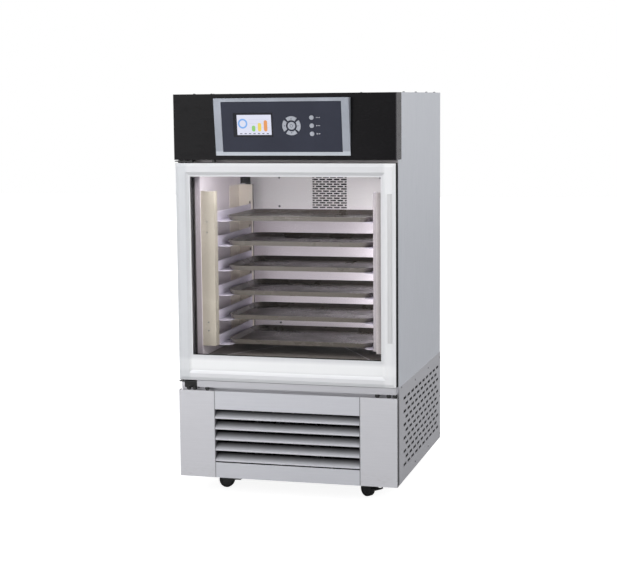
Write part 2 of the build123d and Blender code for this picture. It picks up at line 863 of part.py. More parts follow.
def finned_coil(x_half, y0, y1, z0, z1, fins, tubes):
    """A coil block: end plates and thin fins joined by level flat tubes."""
    step = (2 * x_half - fin_sheet) / (fins + 1)
    lefts = [-x_half + i * step for i in range(fins + 2)]
    plates = [slab(x, x + fin_sheet, y0, y1, z0, z1) for x in lefts]
    middle, half = (y0 + y1) / 2, coil_tube / 2
    coil = plates[0]
    for i in range(tubes):
        z = z0 + (i + 0.5) * (z1 - z0) / tubes
        coil += slab(-x_half, x_half, middle - half, middle + half, z - half, z + half)
    return coil + plates[1:]


def evaporator():
    """Cooling coil in the duct, hung on the back wall, with a header block and two stubs below."""
    z0 = floor_z + coil_foot
    coil = finned_coil(coil_half, back_y - coil_depth, back_y, z0, z0 + coil_height, coil_fins, 2)
    left, right = pipe_drops()
    x0 = left - header_half
    coil += slab(x0, coil_half, pass_y - header_half, pass_y + header_half, z0, z0 + header_height)
    for x in (left, right):
        coil += upright_rod(pipe_radius + stub_wall, x, pass_y, z0 - stub_length, z0)
    return [coil]


def pipe_drops():
    """Left and right places of the two pipes in the way through the floor."""
    return (pass_x - pipe_spacing / 2, pass_x + pipe_spacing / 2)


def humidifier_pan():
    """Shallow water pan on the chamber floor behind the duct, with its heating rod."""
    y1 = back_y - pan_from_wall
    y0 = y1 - pan_depth
    z0, z1 = floor_z, floor_z + pan_height
    pan = slab(-pan_half, pan_half, y0, y1, z0, z1)
    inner = pan_half - pan_sheet
    pan -= slab(-inner, inner, y0 + pan_sheet, y1 - pan_sheet, z0 + pan_sheet, z1 + 1)
    rod = Rot(0, 90, 0) * Cylinder(heater_radius, 2 * (pan_half - heater_end))
    return [pan, Pos(0, (y0 + y1) / 2, z0 + heater_height) * rod]


def compressor_place():
    """Centre of the compressor, set so that the suction pipe drops onto its shoulder."""
    reach = compressor_radius - suction_inset
    turn = radians(suction_turn)
    return pipe_drops()[0] - reach * cos(turn), pass_y - reach * sin(turn)


def compressor():
    """Welded shell on a footplate, with a suction stub on its shoulder and a discharge stub in front."""
    x, y = compressor_place()
    z0 = castor_height + pan_sheet
    z1 = z0 + compressor_height
    foot_top = z0 + compressor_foot_sheet
    long, short = compressor_radius + compressor_foot_play, compressor_radius - compressor_foot_cut
    foot = slab(x - long, x + long, y - short, y + short, z0, foot_top)
    shell = upright_rod(compressor_radius, x, y, foot_top, z1)
    shell = chamfer(shell.edges().group_by(Axis.Z)[-1], compressor_crown)
    left = pipe_drops()[0]
    top = upright_rod(pipe_radius + stub_wall, left, pass_y, z1 - 2 * compressor_crown, z1)
    side = level_rod(pipe_radius + stub_wall, left, condenser_ports()[1], discharge_y(), y)
    return [foot + shell + top + side]


def discharge_y():
    """Front end of the discharge stub."""
    return compressor_place()[1] - compressor_radius - 2.0


def condenser():
    """Front coil with its manifold, the fan shroud behind it, and the fan motor on a bar."""
    y0 = base_front + condenser_setback
    y1 = y0 + condenser_depth
    z0 = castor_height + pan_sheet
    z1 = z0 + condenser_height
    coil = finned_coil(condenser_half, y0, y1, z0, z1, condenser_fins, 2)
    block_y0, block_y1 = y0 + 8, y1 - 8
    coil += slab(condenser_half - 1, condenser_half + manifold_width, block_y0, block_y1, z0, z1)
    left, right = pipe_drops()
    low, high = condenser_ports()
    for x, z in ((left, high), (right, low)):
        coil += level_rod(pipe_radius + stub_wall, x, z, block_y1 - 1, block_y1 + stub_length)
    centre_z = (z0 + z1) / 2
    y2 = y1 + shroud_depth
    shroud = slab(-condenser_half, condenser_half, y1, y2, z0, z1)
    inner = condenser_half - pan_sheet
    shroud -= slab(-inner, inner, y1 - 1, y2 - pan_sheet, z0 + pan_sheet, z1 - pan_sheet)
    shroud -= level_rod(condenser_fan_radius + fan_ring_play, 0, centre_z, y2 - 2 * pan_sheet, y2 + 1)
    motor = level_rod(condenser_fan_hub, 0, centre_z, y2 + 14, y2 + 54)
    motor += level_rod(condenser_shaft, 0, centre_z, y2 - 12, y2 + 15)
    bar_y0, bar_y1 = y2 + 18, y2 + 22
    bar_half, bar_z0, bar_z1 = condenser_half - 20, centre_z - 10, centre_z + 10
    motor += slab(-bar_half, bar_half, bar_y0, bar_y1, bar_z0, bar_z1)
    for side in (-1, 1):
        x = side * (bar_half - 2)
        motor += slab(x - 2, x + 2, y2, bar_y1, bar_z0, bar_z1)
    return [coil, shroud, motor]


def condenser_ports():
    """Lower and upper port levels of the condenser."""
    z0 = castor_height + pan_sheet
    return (z0 + 30.0, z0 + condenser_height - 90.0)


def condenser_fan():
    """Fan in the mouth of the shroud."""
    z = castor_height + pan_sheet + condenser_height / 2
    y = base_front + condenser_setback + condenser_depth + shroud_depth
    fan = axial_fan(condenser_fan_radius, condenser_fan_hub, condenser_fan_width, 5, 30.0)
    fan -= Rot(90, 0, 0) * Cylinder(condenser_shaft + shaft_play, condenser_fan_width + 4)
    return [Pos(0, y, z) * fan]


def pipework():
    """Straight suction and discharge pipes, and a liquid pipe with one bend."""
    left, right = pipe_drops()
    low, high = condenser_ports()
    coil_z = floor_z + coil_foot - stub_length
    shell_top = castor_height + pan_sheet + compressor_height
    port_y = base_front + condenser_setback + condenser_depth - 8 + stub_length
    suction = upright_rod(pipe_radius, left, pass_y, shell_top, coil_z)
    discharge = level_rod(pipe_radius, left, high, port_y, discharge_y())
    liquid = upright_rod(pipe_radius, right, pass_y, low + pipe_bend, coil_z)
    liquid += level_rod(pipe_radius, right, low, port_y, pass_y - pipe_bend)
    elbow = Plane(origin=(right, pass_y, low + pipe_bend), z_dir=(0, 0, 1)) * Circle(pipe_radius)
    centre = Axis((right, pass_y - pipe_bend, low + pipe_bend), (-1, 0, 0))
    liquid += revolve(elbow, axis=centre, revolution_arc=90)
    return [suction, discharge, liquid]


def castor_places():
    """Swivel axis and resting turn of each castor: front left, front right, rear left, rear right."""
    front, rear = body_front + castor_from_front, rear_y - castor_from_rear
    left, right = castor_shift - castor_half_track, castor_shift + castor_half_track
    turn_left, turn_right = front_castor_turn
    return [(left, front, turn_left), (right, front, turn_right), (left, rear, 15.0), (right, rear, -20.0)]


def castor_plates():
    """Square mounting plates under the pan, each with the hole for its kingpin."""
    made = []
    for x, y, turn in castor_places():
        plate = slab(x - 26, x + 26, y - 26, y + 26, castor_height - castor_plate, castor_height)
        made.append(plate - upright_rod(pin_radius + pin_play, x, y, 0, castor_height - 0.5))
    return made


def castor_fork():
    """Swivelling half of a castor: crown, two cheeks, race and kingpin at the origin."""
    x, z = castor_trail, wheel_radius
    inner = wheel_width / 2 + wheel_play
    outer = inner + fork_sheet
    crown_top = castor_height - castor_plate - castor_play - race_height
    crown_foot = crown_top - fork_sheet
    pin_x, pin_z = pedal_place()
    outline = Polygon(
        (-13, crown_top),
        (x + 12, crown_top),
        (pin_x + 4, pin_z + 5),
        (pin_x + 4, pin_z - 4),
        (x + 5, z - 8),
        (x - 5, z - 8),
        (x - 9, z),
        align=None,
    )
    cheek = Plane.XZ.offset(-outer) * outline
    cheek = extrude(cheek, amount=fork_sheet)
    fork = cheek + mirror(cheek, about=Plane.XZ)
    fork += slab(-13, x + 12, -outer, outer, crown_foot, crown_top)
    fork += upright_rod(11.0, 0, 0, crown_top, crown_top + race_height)
    fork += upright_rod(pin_radius, 0, 0, crown_top, castor_height - 1.0)
    fork -= cross_pin(x, z, axle_radius + pin_play, outer + 1)
    return fork - cross_pin(pin_x, pin_z, pedal_pin + pin_play, outer + 1)


def cross_pin(x, z, radius, half_length):
    """A pin across the castor."""
    return Pos(x, 0, z) * Rot(90, 0, 0) * Cylinder(radius, 2 * half_length)


def pedal_place():
    """Forward and upward place of the pedal's cross pin, just behind the wheel."""
    return castor_trail + wheel_radius + pedal_gap, wheel_radius + pedal_rise


def castor_pedal():
    """Brake pedal on its cross pin: a foot plate behind the wheel with a raised tip."""
    x, z = pedal_place()
    half = wheel_width / 2
    lever = slab(x - 2, x + 8, -half, half, z - 3, z + 3)
    lever += slab(x + 6, x + pedal_length, -pedal_width / 2, pedal_width / 2, z - 2, z + 2)
    tip = Pos(x + pedal_length, 0, z) * Rot(0, -30, 0) * Pos(4, 0, 0.5) * Box(10, pedal_width, 4)
    return lever + tip + cross_pin(x, z, pedal_pin, half + wheel_play + fork_sheet)


def castor_wheel():
    """Wheel on its axle."""
    wheel = cross_pin(0, 0, wheel_radius, wheel_width / 2)
    wheel += cross_pin(0, 0, axle_radius, wheel_width / 2 + wheel_play + fork_sheet)
    return Pos(castor_trail, 0, wheel_radius) * wheel


def castors():
    """The forks, wheels and brake pedals in their places."""
    made = {}
    corners = ("front_left", "front_right", "rear_left", "rear_right")
    for corner, (x, y, turn) in zip(corners, castor_places()):
        at = Pos(x, y, 0) * Rot(0, 0, turn)
        made[f"castor_fork_{corner}"] = [at * castor_fork()]
        made[f"castor_wheel_{corner}"] = [at * castor_wheel()]
        if corner.startswith("front"):
            made[f"castor_pedal_{corner}"] = [at * castor_pedal()]
    return made


def build():
    """Every sub-part by name, each as a list of its solids."""
    made = {}
    for maker in (
        side_panels, top_panel, rear_panel, insulation, liner, chassis, vent_panels, base_corner_panels,
        louvre_panel, sill_strip, fascia, control_bezel, control_plate, display, control_board,
        door_frame, door_glass, glass_spacer, door_back_frame, door_gasket, door_grip, hinge_brackets,
        lamp_housing, lamp_lens, rack_uprights, tray_runners, air_duct_panel, circulation_fan,
        circulation_motor, evaporator, humidifier_pan, compressor, condenser, condenser_fan, pipework,
        castor_plates,
    ):
        made[maker.__name__] = maker()
    made.update(buttons())
    made.update(castors())
    for number, z in enumerate(shelf_heights, start=1):
        made[f"tray_{number}"] = tray(z)
    return made


os.makedirs("parts", exist_ok=True)
for name, solids in build().items():
    pieces = [solid for shape in solids for solid in shape.solids()]
    export_step(pieces[0] if len(pieces) == 1 else Compound(pieces), f"parts/{name}.step")
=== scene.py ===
import json
from math import cos, pi, radians, sin

import bpy
import numpy as np
from mathutils import Matrix, Vector


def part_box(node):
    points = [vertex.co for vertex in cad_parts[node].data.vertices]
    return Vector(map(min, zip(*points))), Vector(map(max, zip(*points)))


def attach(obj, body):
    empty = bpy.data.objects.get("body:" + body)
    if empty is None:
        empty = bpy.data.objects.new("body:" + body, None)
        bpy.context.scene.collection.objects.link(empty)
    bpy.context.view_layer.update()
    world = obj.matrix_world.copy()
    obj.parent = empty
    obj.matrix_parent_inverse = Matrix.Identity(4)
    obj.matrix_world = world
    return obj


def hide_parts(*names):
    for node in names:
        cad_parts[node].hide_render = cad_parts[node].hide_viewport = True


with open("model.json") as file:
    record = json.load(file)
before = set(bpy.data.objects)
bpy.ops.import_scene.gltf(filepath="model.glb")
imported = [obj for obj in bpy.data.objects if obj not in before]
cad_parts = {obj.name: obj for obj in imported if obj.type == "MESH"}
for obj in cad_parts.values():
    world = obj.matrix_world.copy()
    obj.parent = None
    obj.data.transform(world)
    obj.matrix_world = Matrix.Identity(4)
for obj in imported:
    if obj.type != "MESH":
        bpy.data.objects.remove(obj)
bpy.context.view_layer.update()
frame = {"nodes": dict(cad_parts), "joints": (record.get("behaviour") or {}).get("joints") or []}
nodes = frame["nodes"]
joints = {joint["name"]: joint for joint in frame["joints"]}
MM = 0.001
SHARP_ANGLE = radians(35)
SCREW_RADIUS = 3.2 * MM
RACK_ABOVE_FLOOR = 36 * MM


# Camera, fitted to the photograph with no shift
IMAGE_WIDTH = 617
FOCAL_PIXELS = 1511.5
SENSOR = 36.0
CAMERA_PLACE = (1.2837, -4.7486, 1.2314)
YAW, PITCH, ROLL = 0.26793, 0.12539, -0.00956


def srgb(red, green, blue):
    """A colour written in screen values from 0 to 255, as the linear values that a shader takes."""
    values = np.array([red, green, blue]) / 255.0
    linear = np.where(values <= 0.04045, values / 12.92, ((values + 0.055) / 1.055) ** 2.4)
    return (*[float(v) for v in linear], 1.0)


def place_camera():
    """A camera that looks along +Y, turned by the yaw, down by the pitch and rolled about its axis."""
    data = bpy.data.cameras.new("camera")
    data.sensor_width = SENSOR
    data.lens = SENSOR * FOCAL_PIXELS / IMAGE_WIDTH
    data.clip_end = 60.0
    camera = bpy.data.objects.new("camera", data)
    turn = Matrix.Rotation(YAW, 4, "Z") @ Matrix.Rotation(pi / 2 - PITCH, 4, "X")
    turn = turn @ Matrix.Rotation(ROLL, 4, "Z")
    camera.matrix_world = Matrix.Translation(CAMERA_PLACE) @ turn
    bpy.context.scene.collection.objects.link(camera)
    bpy.context.scene.camera = camera


# Node helpers for materials


class Finish:
    """A material with one Principled shader, and short ways to add the nodes that vary it."""

    def __init__(self, name, colour, roughness, metallic=0.0, specular=0.5, coat=0.0, alpha=1.0):
        self.material = bpy.data.materials.new(name)
        self.material.use_nodes = True
        self.nodes = self.material.node_tree.nodes
        self.links = self.material.node_tree.links
        self.shader = self.nodes["Principled BSDF"]
        self.colour = colour
        self.shader.inputs["Base Color"].default_value = colour
        self.shader.inputs["Roughness"].default_value = roughness
        self.shader.inputs["Metallic"].default_value = metallic
        self.shader.inputs["Specular IOR Level"].default_value = specular
        self.shader.inputs["Coat Weight"].default_value = coat
        self.shader.inputs["Alpha"].default_value = alpha
        self.height = None

    def node(self, kind, **values):
        made = self.nodes.new(kind)
        for key, value in values.items():
            setattr(made, key, value)
        return made

    def place(self, scale=(1.0, 1.0, 1.0)):
        """Object coordinates in metres, stretched along each axis."""
        source = self.node("ShaderNodeTexCoord")
        mapping = self.node("ShaderNodeMapping")
        mapping.inputs["Scale"].default_value = scale
        self.links.new(source.outputs["Object"], mapping.inputs["Vector"])
        return mapping.outputs["Vector"]

    def noise(self, scale, detail=4.0, stretch=(1.0, 1.0, 1.0), roughness=0.55):
        """Cloud noise from 0 to 1."""
        made = self.node("ShaderNodeTexNoise")
        made.inputs["Scale"].default_value = scale
        made.inputs["Detail"].default_value = detail
        made.inputs["Roughness"].default_value = roughness
        self.links.new(self.place(stretch), made.inputs["Vector"])
        return made.outputs["Fac"]

    def cells(self, scale, stretch=(1.0, 1.0, 1.0)):
        """Distance to the nearest of many scattered points."""
        made = self.node("ShaderNodeTexVoronoi")
        made.inputs["Scale"].default_value = scale
        self.links.new(self.place(stretch), made.inputs["Vector"])
        return made.outputs["Distance"]

    def waves(self, scale, direction):
        """Even ribs across one axis, from 0 to 1."""
        made = self.node("ShaderNodeTexWave", bands_direction=direction)
        made.inputs["Scale"].default_value = scale
        self.links.new(self.place(), made.inputs["Vector"])
        return made.outputs["Fac"]

    def span(self, value, start, end, at_start=0.0, at_end=1.0):
        """A value carried from one range to another, held at its ends."""
        made = self.node("ShaderNodeMapRange")
        ends = {"From Min": start, "From Max": end, "To Min": at_start, "To Max": at_end}
        for name, number in ends.items():
            made.inputs[name].default_value = number
        self.links.new(value, made.inputs["Value"])
        return made.outputs["Result"]

    def along(self, axis, start, end, at_start=0.0, at_end=1.0):
        """A ramp along one axis of the object, between two places in metres."""
        split = self.node("ShaderNodeSeparateXYZ")
        self.links.new(self.place(), split.inputs["Vector"])
        return self.span(split.outputs[axis], start, end, at_start, at_end)

    def times(self, first, second, operation="MULTIPLY"):
        """Two values or numbers multiplied, or joined by another operation, kept from 0 to 1."""
        made = self.node("ShaderNodeMath", operation=operation, use_clamp=True)
        for socket, value in zip(made.inputs, (first, second)):
            if isinstance(value, (int, float)):
                socket.default_value = value
            else:
                self.links.new(value, socket)
        return made.outputs["Value"]

    def tint(self, factor, colour):
        """Goes over to another colour where the factor is 1, on top of what was there."""
        made = self.node("ShaderNodeMix", data_type="RGBA")
        made.inputs["A"].default_value = self.colour
        base = self.shader.inputs["Base Color"]
        if base.is_linked:
            self.links.new(base.links[0].from_socket, made.inputs["A"])
        made.inputs["B"].default_value = colour
        self.links.new(factor, made.inputs["Factor"])
        self.links.new(made.outputs["Result"], base)
        return self

    def band(self, axis, start, end, colour, strength=1.0):
        """Goes over to another colour along an axis, from one place to the next, and keeps it beyond."""
        return self.tint(self.along(axis, start, end, 0.0, strength), colour)

    def rough(self, value):
        self.links.new(value, self.shader.inputs["Roughness"])
        return self

    def relief(self, value, depth, strength=1.0):
        """Bumps of a real depth in metres, added to those already there."""
        made = self.node("ShaderNodeBump")
        made.inputs["Distance"].default_value = depth
        made.inputs["Strength"].default_value = strength
        self.links.new(value, made.inputs["Height"])
        normal = self.shader.inputs["Normal"]
        if normal.is_linked:
            self.links.new(normal.links[0].from_socket, made.inputs["Normal"])
        self.links.new(made.outputs["Normal"], normal)
        return self

    def glow(self, colour, strength):
        self.shader.inputs["Emission Color"].default_value = colour
        self.shader.inputs["Emission Strength"].default_value = strength
        return self


def shade(colour, factor):
    """A darker or lighter version of a colour."""
    return (*[min(1.0, c * factor) for c in colour[:3]], 1.0)


def brushed(name, colour, roughness, grain, metallic=0.9, spread=0.92):
    """Stainless sheet: fine streaks along one axis, cloudy tone, handling marks and dulled patches."""
    made = Finish(name, colour, roughness, metallic)
    stretch = {"x": (0.012, 1, 1), "y": (1, 0.012, 1), "z": (1, 1, 0.012)}[grain]
    streaks = made.noise(900.0, 3.0, stretch)
    broad = made.noise(2.2, 3.0)
    marks = made.noise(14.0, 6.0, roughness=0.7)
    made.tint(made.span(streaks, 0.35, 0.65), shade(colour, spread))
    made.tint(made.span(broad, 0.45, 0.75, 0.0, 0.5), shade(colour, 0.93))
    marks = made.span(marks, 0.52, 0.72, 0.0, 0.10)
    dull = made.times(marks, made.span(streaks, 0.3, 0.7, 0.0, 0.12), "ADD")
    made.rough(made.times(dull, roughness, "ADD"))
    made.relief(streaks, 0.00002, 0.5)
    return made


def painted(name, colour, roughness, specular=0.5, coat=0.0, peel=0.00004):
    """Sprayed enamel or moulded plastic: orange peel, faint cloudiness and a few rubbed patches."""
    made = Finish(name, colour, roughness, specular=specular, coat=coat)
    fine = made.noise(700.0, 2.0)
    broad = made.noise(9.0, 5.0, roughness=0.65)
    made.tint(made.span(broad, 0.45, 0.7, 0.0, 0.6), shade(colour, 1.25))
    made.rough(made.span(broad, 0.3, 0.75, roughness * 0.85, roughness * 1.25))
    made.relief(fine, peel, 0.6)
    return made


def dress(made, *names):
    """Gives a finish to CAD nodes, in every one of their material slots."""
    for name in names:
        for slot in nodes[name].material_slots:
            slot.material = made.material


def named(start):
    """The nodes whose names start with a word."""
    return [name for name in nodes if name.startswith(start)]


# Surfaces


def grid_faces(rows, columns, close_rows=False, close_columns=False):
    """Quads between neighbours of a grid of points that is stored row by row."""
    row = np.arange(rows if close_rows else rows - 1)
    column = np.arange(columns if close_columns else columns - 1)
    r, c = [a.ravel() for a in np.meshgrid(row, column, indexing="ij")]
    r1, c1 = (r + 1) % rows, (c + 1) % columns
    return np.stack([r * columns + c, r * columns + c1, r1 * columns + c1, r1 * columns + c], 1)


def make(name, points, faces, finish, body, smooth=True):
    """A piece from its points and faces, on a body, with its finish."""
    mesh = bpy.data.meshes.new(name)
    mesh.from_pydata(np.asarray(points, float).tolist(), [], [list(face) for face in faces])
    mesh.validate()
    mesh.update()
    if smooth:
        mesh.shade_smooth()
        mesh.set_sharp_from_angle(angle=SHARP_ANGLE)
    else:
        mesh.shade_flat()
    piece = bpy.data.objects.new(name, mesh)
    bpy.context.scene.collection.objects.link(piece)
    mesh.materials.append(finish.material)
    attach(piece, body)
    return piece


def gather(parts):
    """Several meshes as one: their points in a row, with the faces counted on."""
    points, faces, start = [], [], 0
    for part_points, part_faces in parts:
        points.append(np.asarray(part_points, float))
        faces += [[i + start for i in face] for face in np.asarray(part_faces, dtype=object).tolist()]
        start += len(part_points)
    return np.concatenate(points), faces


def basis(axis):
    """Two directions square to an axis and to each other, and the axis itself, as a right-handed set."""
    w = np.asarray(axis, float)
    w = w / np.linalg.norm(w)
    helper = np.array([0.0, 0.0, 1.0]) if abs(w[2]) < 0.9 else np.array([1.0, 0.0, 0.0])
    u = np.cross(helper, w)
    u /= np.linalg.norm(u)
    return u, np.cross(w, u), w


def turned(profile, centre, axis, steps=32, closed=False):
    """A profile of radius and height turned about an axis.

    Each point stands at its radius, in the direction of its angle, and at its height along the axis.
    An open profile starts and ends on the axis, where its first and last rings close to a point."""
    u, v, w = basis(axis)
    profile = np.asarray(profile, float)
    angle = np.arange(steps) * 2 * pi / steps
    r, h = profile[:, 0][:, None, None], profile[:, 1][:, None, None]
    ring = np.cos(angle)[None, :, None] * u + np.sin(angle)[None, :, None] * v
    points = np.asarray(centre, float) + r * ring + h * w
    if closed:
        return points.reshape(-1, 3), grid_faces(len(profile), steps, True, True)
    inner = points[1:-1].reshape(-1, 3)
    count = len(inner)
    faces = grid_faces(len(profile) - 2, steps, False, True).tolist()
    last = count - steps
    for i in range(steps):
        j = (i + 1) % steps
        faces.append([count, j, i])
        faces.append([count + 1, last + i, last + j])
    return np.concatenate([inner, points[0, :1], points[-1, :1]]), faces


def prism(outline, origin, u, v, n, near, far):
    """A flat outline in directions u and v, given thickness along n from near to far."""
    outline = np.asarray(outline, float)
    flat = np.asarray(origin, float) + outline[:, :1] * np.asarray(u) + outline[:, 1:] * np.asarray(v)
    points = np.concatenate([flat + near * np.asarray(n), flat + far * np.asarray(n)])
    count = len(outline)
    faces = [list(range(count - 1, -1, -1)), list(range(count, 2 * count))]
    faces += [[i, (i + 1) % count, (i + 1) % count + count, i + count] for i in range(count)]
    return points, faces


def rounded(width, height, radius, steps=5):
    """A rectangle whose corners are quarter circles, anticlockwise from the lower right."""
    turn = np.linspace(0, pi / 2, steps)
    corners = [
        (width / 2 - radius, -height / 2 + radius, -pi / 2),
        (width / 2 - radius, height / 2 - radius, 0),
        (-width / 2 + radius, height / 2 - radius, pi / 2),
        (-width / 2 + radius, -height / 2 + radius, pi),
    ]
    return np.concatenate([np.stack([x + radius * np.cos(turn + a), y + radius * np.sin(turn + a)], 1)
                           for x, y, a in corners])


def frame_ring(profile, half_width, foot, head, radius, steps=6):
    """A closed profile of outward offset and depth, carried round an upright rectangle.

    At each profile point the rectangle grows by the offset, and its corner arcs grow with it."""
    rings = []
    for offset, depth in profile:
        outline = rounded(2 * (half_width + offset), head - foot + 2 * offset, radius + offset, steps)
        height = outline[:, 1] + (head + foot) / 2
        rings.append(np.stack([outline[:, 0], np.full(len(outline), depth), height], 1))
    points = np.array(rings)
    return points.reshape(-1, 3), grid_faces(len(rings), points.shape[1], True, True)


def screw(centre, axis, radius, height=0.6):
    """A pan head: low dome with a cross recess, on a round shoulder.

    The dome is as high as the root of one less the radius squared. The recess is a step down wherever
    a point is near an arm of the cross and not near the rim."""
    steps, rings = 24, np.array([0.0, 0.12, 0.26, 0.42, 0.6, 0.8, 0.94, 1.0])
    u, v, w = basis(axis)
    angle = np.arange(steps) * 2 * pi / steps
    r, a = np.meshgrid(rings[1:], angle, indexing="ij")
    dome = height * radius * np.sqrt(np.clip(1.02 - r ** 2, 0, 1))
    arm = np.minimum(np.abs(np.sin(a)), np.abs(np.cos(a))) * r
    recess = np.where((arm < 0.11) & (r < 0.62), 0.32 * radius, 0.0)
    h = dome - recess
    spoke = np.cos(a)[..., None] * u + np.sin(a)[..., None] * v
    points = r[..., None] * radius * spoke + h[..., None] * w
    foot = points[-1] - (h[-1][:, None] + 0.1 * radius) * w
    ring_points = np.concatenate([points.reshape(-1, 3), foot])
    faces = grid_faces(len(rings), steps, False, True)[:, ::-1].tolist()
    top = len(ring_points)
    for i in range(steps):
        j = (i + 1) % steps
        faces.append([top, i, j])
        faces.append([top + 1, (len(rings) - 1) * steps + j, (len(rings) - 1) * steps + i])
    ends = np.array([(0.28 * radius) * w, -0.1 * radius * w])
    return np.concatenate([ring_points, ends]) + np.asarray(centre, float), faces


def hexagon_bolt(centre, axis, across, height):
    """A six-sided head on a round washer. Its corners stand at the width across flats over root three."""
    u, v, w = basis(axis)
    angle = np.arange(6) * pi / 3
    six = np.stack([np.cos(angle), np.sin(angle)], 1) * across / 3 ** 0.5
    head = prism(six, centre, u, v, w, 0.2 * height, height)
    wide, thin = 0.8 * across, 0.2 * height
    washer = turned([(0, 0), (wide, 0), (wide, thin), (0, thin)], centre, axis, 20)
    return gather([head, washer])


# Places read from the frame


def low(node):
    """The lowest corner of a node's box."""
    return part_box(node)[0]


def high(node):
    """The highest corner of a node's box."""
    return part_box(node)[1]


body_top = high("top_panel").z
base_foot, base_top = low("vent_panels").z, high("base_corner_panels").z
seam_z = high("vent_panels").z
side_x = high("vent_panels").x
rear_y = high("rear_panel").y
door_left, door_right = low("door_frame").x, high("door_frame").x
door_foot, door_head = low("door_frame").z, high("door_frame").z
door_face = low("door_frame").y
duct_y = low("air_duct_panel").y
rack_top = high("rack_uprights").z
chamber_floor = low("rack_uprights").z - RACK_ABOVE_FLOOR
push = Vector(joints["enter_button_press"]["axis"])
panel_out = -push
panel_across = Vector((1, 0, 0))
panel_up = panel_out.cross(panel_across)


def inner_edge(node, share=0.8):
    """How far from the middle plane the inner sides of an upright frame stand.

    Only points beyond the given share of its half width count, so a bar across it doesn't."""
    across = np.abs([vertex.co.x for vertex in nodes[node].data.vertices])
    return float(across[across > share * across.max()].min())


def face_of(node):
    """Middle of a control's outer face, with its width and height, in the tilted plane of the module."""
    points = np.array([vertex.co for vertex in nodes[node].data.vertices])
    out = points @ np.array(panel_out)
    front = points[out > out.max() - 0.05 * MM]
    x, v = front @ np.array(panel_across), front @ np.array(panel_up)
    middle = (x.min() + x.max()) / 2 * np.array(panel_across)
    middle = middle + (v.min() + v.max()) / 2 * np.array(panel_up)
    return middle + out.max() * np.array(panel_out), x.max() - x.min(), v.max() - v.min()


# Finishes


# Painted shade: a dark colour painted where shade falls, behind the duct cover and on the lining's front
# lip.
PAINTED_SHADE_DARK = srgb(40, 38, 40)


def scuffed_foot(made, colour):
    """Faint scuffs in the lowest 50 mm of a sheet."""
    foot = made.along("Z", base_foot, base_foot + 50 * MM, 1.0, 0.0)
    scuffs = made.span(made.noise(60.0, 6.0, (1, 1, 3)), 0.52, 0.72, 0.0, 0.45)
    made.tint(made.times(foot, scuffs), colour)


def steel_finishes():
    """Stainless sheets of the cabinet, its door and grip, and the zinc plate under them."""
    upper = brushed("upper_side_steel", srgb(210, 213, 220), 0.4, "z", metallic=0.6)
    dress(upper, "side_panels", "top_panel", "rear_panel")
    base = brushed("base_steel", srgb(198, 198, 203), 0.4, "x", metallic=0.7, spread=0.95)
    scuffed_foot(base, srgb(172, 170, 168))
    dress(base, "vent_panels", "sill_strip")
    corner = brushed("corner_steel", srgb(210, 210, 215), 0.42, "x", metallic=0.55, spread=0.97)
    scuffed_foot(corner, srgb(176, 174, 172))
    # Painted shade: the back of each corner panel's side return is dark grey, a painted shadow for the
    # seam by the vent panel.
    corner.band("Y", door_face + 5 * MM, door_face + 6 * MM, srgb(84, 84, 88))
    dress(corner, "base_corner_panels")
    louvre_finish()
    door = brushed("door_steel", srgb(222, 223, 226), 0.5, "z", metallic=0.3, spread=0.97)
    # Painted highlight: a lighter band across the lower rail of the door frame. Painted shade on its left
    # stile, and a painted highlight on its right stile.
    door.band("Z", door_foot + 74 * MM, door_foot + 62 * MM, srgb(250, 251, 252), 0.8)
    door.band("Z", door_foot + 38 * MM, door_foot + 26 * MM, srgb(222, 223, 226))
    door.band("X", door_left + 40 * MM, door_left + 30 * MM, srgb(206, 209, 213), 0.6)
    door.band("X", door_right - 40 * MM, door_right - 30 * MM, srgb(238, 239, 241), 0.7)
    dress(door, "door_frame")
    grip = brushed("grip_alloy", srgb(212, 212, 214), 0.45, "z", metallic=0.4, spread=0.96)
    dress(grip, "door_grip")
    chassis = brushed("zinc_plate", srgb(92, 94, 97), 0.5, "y", spread=0.8)
    spangle = chassis.cells(90.0)
    chassis.tint(chassis.span(spangle, 0.2, 0.8, 0.0, 0.5), srgb(110, 113, 117))
    # Painted light: the chassis's front top edge, in the shaded gap under the sill strip, is painted
    # light grey.
    rim = chassis.along("Y", door_face + 35 * MM, door_face + 34 * MM)
    rim = chassis.times(rim, chassis.along("Z", base_top - 10.5 * MM, base_top - 8.5 * MM))
    chassis.tint(rim, srgb(206, 205, 211))
    dress(chassis, "chassis", "castor_plates")


def louvre_finish():
    """Louvre steel with painted shade: a fine dark seam at each side, and blades that darken towards
    their back edge, where the blade above shades them.
    """
    louvre = brushed("louvre_steel", srgb(207, 208, 214), 0.42, "x", metallic=0.55, spread=0.97)
    edge, front = high("louvre_panel").x, low("louvre_panel").y
    # Painted shade: a fine dark seam line at each side.
    for side in (-1, 1):
        louvre.band("X", side * (edge - 2.4 * MM), side * (edge - 1.8 * MM), srgb(96, 96, 100), 0.75)
    # Painted shade: each blade darkens towards its back edge.
    louvre.band("Y", front + 4 * MM, front + 24 * MM, srgb(34, 30, 30), 0.94)
    dress(louvre, "louvre_panel")


